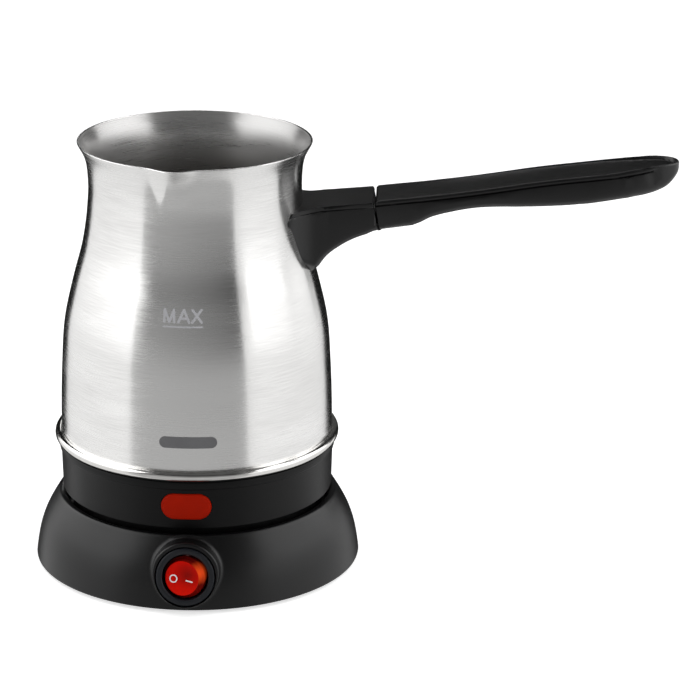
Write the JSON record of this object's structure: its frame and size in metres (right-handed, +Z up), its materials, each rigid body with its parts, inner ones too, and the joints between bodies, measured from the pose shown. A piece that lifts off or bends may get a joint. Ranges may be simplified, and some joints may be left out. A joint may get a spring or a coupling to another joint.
{
  "type": "electric turkish coffee maker",
  "caption": "Steel coffee pot with pouring lip and folding black handle, lifting off a round power base with a rocker switch and a red pilot lens.",
  "frame": {"origin": "on the vertical axis of the pot and base, at the table plane that the foot ring rests on", "axes": "+Z up, +X along the handle away from the pot, -Y towards the switch and the pilot lens, +Y towards the cord inlet"},
  "size_m": [0.2536, 0.1356, 0.1722],
  "materials": {
    "brushed_steel": "satin brushed stainless",
    "black_plastic": "fine-textured matte black",
    "handle_plastic": "matte black phenolic",
    "red_lens": "translucent red",
    "rubber": "soft matte",
    "steel_screw": "zinc plated",
    "brass": "bright",
    "aluminium": "cast",
    "element_sheath": "dull sheath",
    "ceramic": "unglazed ceramic",
    "nylon": "natural nylon",
    "lamp_glass": "clear neon tube"
  },
  "bodies": {
    "base": {"base_bottom_plate": "black_plastic", "base_connector": "black_plastic", "base_screws": "steel_screw", "base_shell": "black_plastic", "clamp_screws": "steel_screw", "contact_centre": "brass", "contact_inner": "brass", "contact_outer": "brass", "cord_clamp": "black_plastic", "cord_gland": "rubber", "foot_ring": "rubber", "switch_housing": "black_plastic", "switch_terminals": "brass"},
    "turntable": {"turntable_ring": "nylon"},
    "pot": {"bracket_screw": "steel_screw", "handle_bracket": "handle_plastic", "heater_plate": "aluminium", "heating_element": "element_sheath", "hinge_pin": "steel_screw", "hinge_washers": "nylon", "indicator_lens": "red_lens", "lamp_holder": "nylon", "pilot_lamp": "lamp_glass", "pot_screws": "steel_screw", "pot_skirt": "black_plastic", "pot_socket": "black_plastic", "pot_vessel": "brushed_steel", "seal_ring": "rubber", "skirt_cover": "black_plastic", "socket_inner_ring": "brass", "socket_outer_ring": "brass", "socket_pin": "brass", "thermal_fuse": "ceramic", "thermostat": "ceramic", "weld_clip": "steel_screw"},
    "grip": {"handle_grip": "handle_plastic"},
    "rocker": {"switch_rocker": "red_lens"}
  },
  "joints": [
    {"name": "pot_turn", "type": "hinge", "parent": "base", "child": "turntable", "pos_m": [0, 0, 0.0238], "axis": [0, 0, 1], "continuous": true},
    {"name": "pot_lift", "type": "slide", "parent": "turntable", "child": "pot", "axis": [0, 0, 1], "range_m": [0, 0.06]},
    {"name": "handle_fold", "type": "hinge", "parent": "pot", "child": "grip", "pos_m": [0.0719, 0, 0.14], "axis": [0, 1, 0], "range_deg": [0, 100]},
    {"name": "switch_rock", "type": "hinge", "parent": "base", "child": "rocker", "pos_m": [0, -0.06267, 0.01544], "axis": [0.0872, 0.173, 0.9811], "range_deg": [0, 28]}
  ]
}
